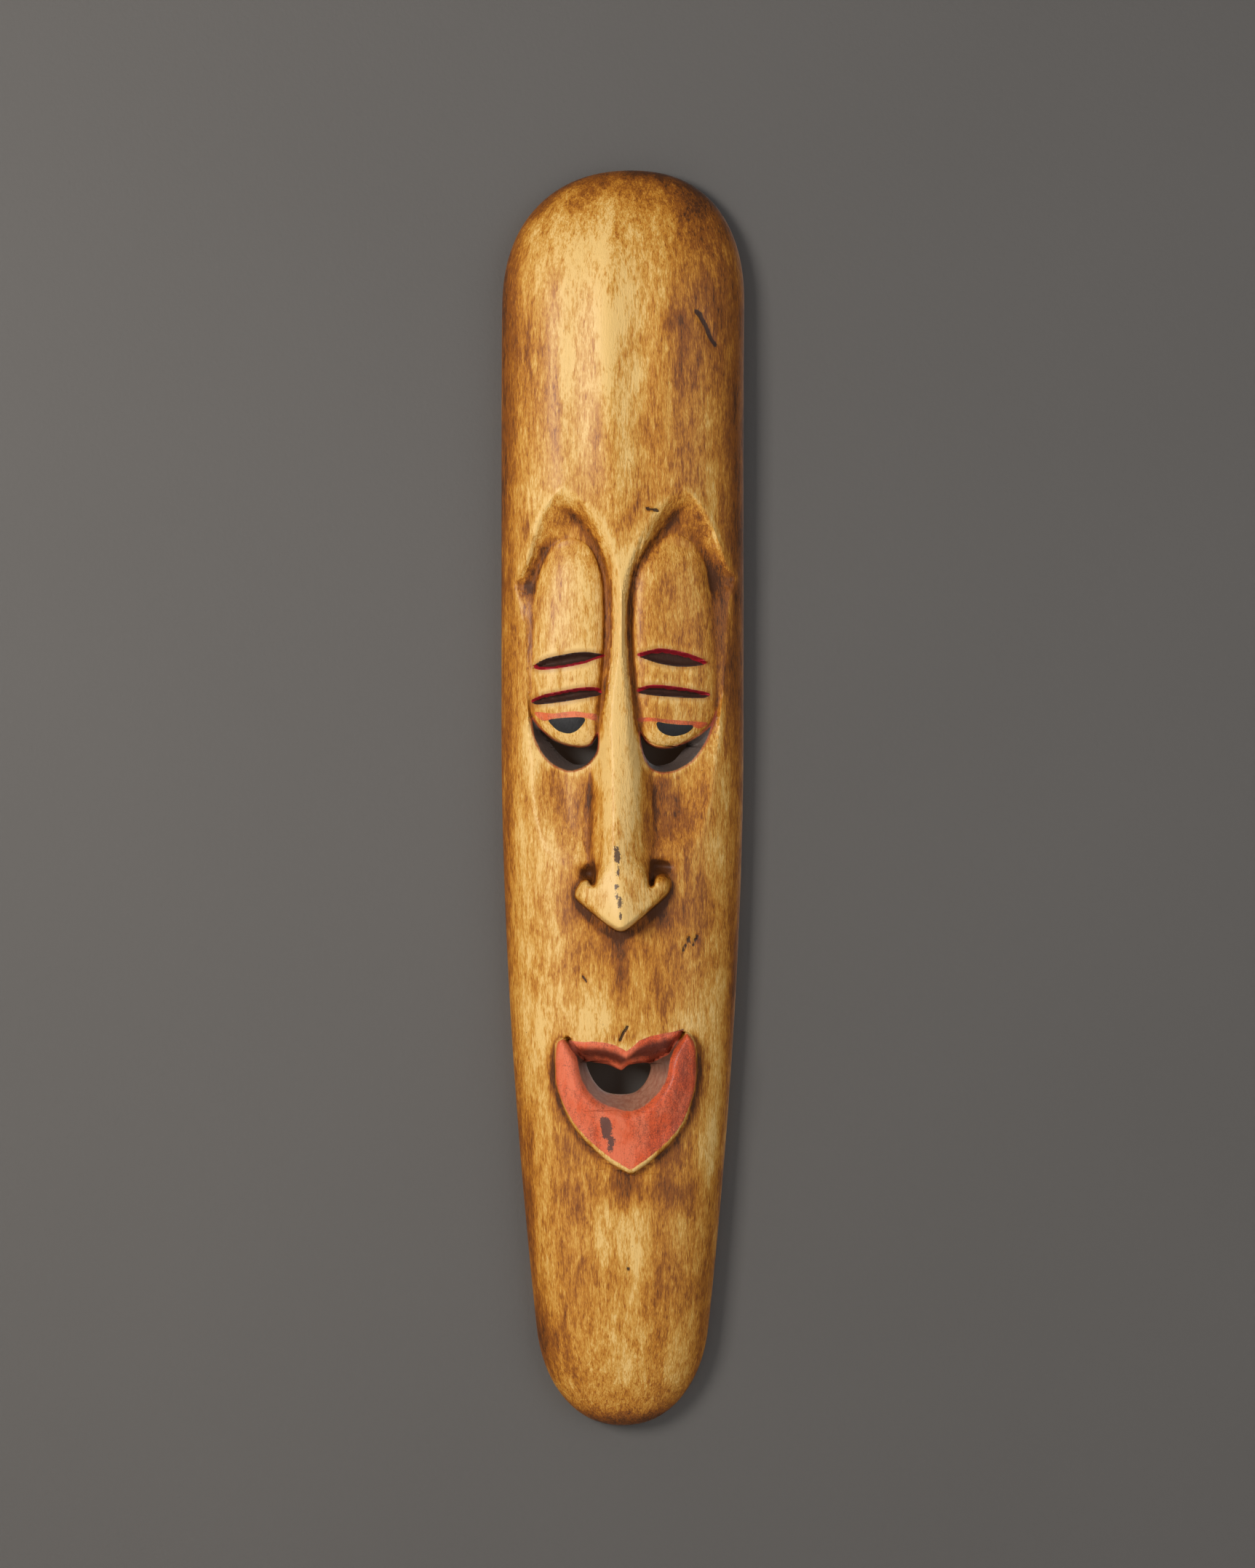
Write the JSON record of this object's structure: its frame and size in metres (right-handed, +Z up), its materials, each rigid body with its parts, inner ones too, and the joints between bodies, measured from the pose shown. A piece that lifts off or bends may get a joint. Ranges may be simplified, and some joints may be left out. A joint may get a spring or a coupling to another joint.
{
  "type": "carved wooden wall mask",
  "caption": "Tall narrow carved face mask, hollow behind with pierced eyes and mouth, hung by a swinging D-ring on a strap hanger screwed to a batten.",
  "frame": {"origin": "the point where the hanger ring sits on its nail, in the plane of the wall", "axes": "+Z up the length of the mask, +Y into the wall, X across the face; the face looks along -Y"},
  "size_m": [0.1934, 0.0775, 0.999],
  "materials": {
    "painted_wood": "ochre paint and brown glaze over carved wood, satin varnish",
    "plain_wood": "bare sawn wood",
    "screw_steel": "zinc plated",
    "hanger_steel": "zinc plated, slightly dulled"
  },
  "bodies": {
    "mask": {"mask_body": "painted_wood", "hanger_batten": "plain_wood", "batten_screws": "screw_steel", "hanger_strap": "hanger_steel", "strap_screws": "screw_steel"},
    "ring": {"hanger_ring": "hanger_steel"}
  },
  "joints": [
    {"name": "ring_swing", "type": "hinge", "parent": "mask", "child": "ring", "pos_m": [0, -0.00605, -0.014], "axis": [-1, 0, 0], "range_deg": [0, 174]}
  ]
}
